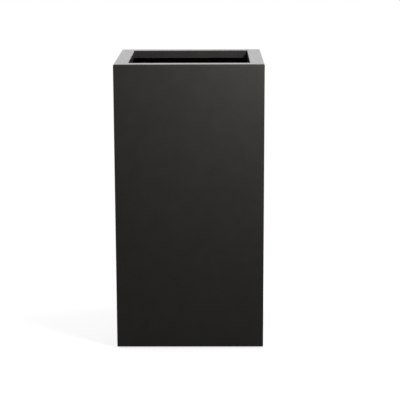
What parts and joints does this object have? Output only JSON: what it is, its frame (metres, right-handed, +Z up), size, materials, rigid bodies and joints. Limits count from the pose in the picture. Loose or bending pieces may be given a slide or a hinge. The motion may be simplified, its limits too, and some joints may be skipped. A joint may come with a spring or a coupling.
{
  "type": "square steel planter",
  "caption": "Tall square steel planter with a flat inward rim, a folded lip, a lift-out pot shelf, drain plugs and hidden levelling feet.",
  "frame": {"origin": "centre of the planter on the ground, under the foot pads", "axes": "+Z up, +X to the right wall and -Y to the front wall that the picture shows"},
  "size_m": [0.38, 0.38, 0.74],
  "materials": {
    "powder_coat": "matte",
    "galvanised": "satin",
    "zinc": "satin",
    "rubber": "matte",
    "nylon": "matte"
  },
  "bodies": {
    "planter": {"front_panel": "powder_coat", "right_panel": "powder_coat", "rear_panel": "powder_coat", "left_panel": "powder_coat", "corner_welds": "powder_coat", "base_tray": "powder_coat", "base_welds": "powder_coat", "front_brace": "powder_coat", "rear_brace": "powder_coat", "brace_welds": "powder_coat", "foot_nuts": "zinc"},
    "shelf": {"pot_shelf": "galvanised"},
    "plug_front_left": {"drain_plug_front_left": "rubber"},
    "pad_front_left": {"foot_pad_front_left": "nylon"},
    "stem_front_left": {"foot_stem_front_left": "zinc"},
    "plug_front_right": {"drain_plug_front_right": "rubber"},
    "pad_front_right": {"foot_pad_front_right": "nylon"},
    "stem_front_right": {"foot_stem_front_right": "zinc"},
    "plug_rear_left": {"drain_plug_rear_left": "rubber"},
    "pad_rear_left": {"foot_pad_rear_left": "nylon"},
    "stem_rear_left": {"foot_stem_rear_left": "zinc"},
    "plug_rear_right": {"drain_plug_rear_right": "rubber"},
    "pad_rear_right": {"foot_pad_rear_right": "nylon"},
    "stem_rear_right": {"foot_stem_rear_right": "zinc"}
  },
  "joints": [
    {"name": "shelf_lift", "type": "slide", "parent": "planter", "child": "shelf", "axis": [0, 0, 1], "range_m": [0, 0.32]},
    {"name": "plug_pull_front_left", "type": "slide", "parent": "planter", "child": "plug_front_left", "axis": [0, 0, 1], "range_m": [0, 0.06]},
    {"name": "pad_slide_front_left", "type": "slide", "parent": "planter", "child": "pad_front_left", "axis": [0, 0, -1], "range_m": [0, 0.012]},
    {"name": "stem_turn_front_left", "type": "hinge", "parent": "pad_front_left", "child": "stem_front_left", "pos_m": [-0.14, -0.14, 0.02], "axis": [0, 0, -1], "range_deg": [0, 2880]},
    {"name": "plug_pull_front_right", "type": "slide", "parent": "planter", "child": "plug_front_right", "axis": [0, 0, 1], "range_m": [0, 0.06]},
    {"name": "pad_slide_front_right", "type": "slide", "parent": "planter", "child": "pad_front_right", "axis": [0, 0, -1], "range_m": [0, 0.012]},
    {"name": "stem_turn_front_right", "type": "hinge", "parent": "pad_front_right", "child": "stem_front_right", "pos_m": [0.14, -0.14, 0.02], "axis": [0, 0, -1], "range_deg": [0, 2880]},
    {"name": "plug_pull_rear_left", "type": "slide", "parent": "planter", "child": "plug_rear_left", "axis": [0, 0, 1], "range_m": [0, 0.06]},
    {"name": "pad_slide_rear_left", "type": "slide", "parent": "planter", "child": "pad_rear_left", "axis": [0, 0, -1], "range_m": [0, 0.012]},
    {"name": "stem_turn_rear_left", "type": "hinge", "parent": "pad_rear_left", "child": "stem_rear_left", "pos_m": [-0.14, 0.14, 0.02], "axis": [0, 0, -1], "range_deg": [0, 2880]},
    {"name": "plug_pull_rear_right", "type": "slide", "parent": "planter", "child": "plug_rear_right", "axis": [0, 0, 1], "range_m": [0, 0.06]},
    {"name": "pad_slide_rear_right", "type": "slide", "parent": "planter", "child": "pad_rear_right", "axis": [0, 0, -1], "range_m": [0, 0.012]},
    {"name": "stem_turn_rear_right", "type": "hinge", "parent": "pad_rear_right", "child": "stem_rear_right", "pos_m": [0.14, 0.14, 0.02], "axis": [0, 0, -1], "range_deg": [0, 2880]}
  ],
  "couplings": [
    {"joint": "stem_turn_front_left", "follows": "pad_slide_front_left", "rad_per_m": 4188.8},
    {"joint": "stem_turn_front_right", "follows": "pad_slide_front_right", "rad_per_m": 4188.8},
    {"joint": "stem_turn_rear_left", "follows": "pad_slide_rear_left", "rad_per_m": 4188.8},
    {"joint": "stem_turn_rear_right", "follows": "pad_slide_rear_right", "rad_per_m": 4188.8}
  ]
}
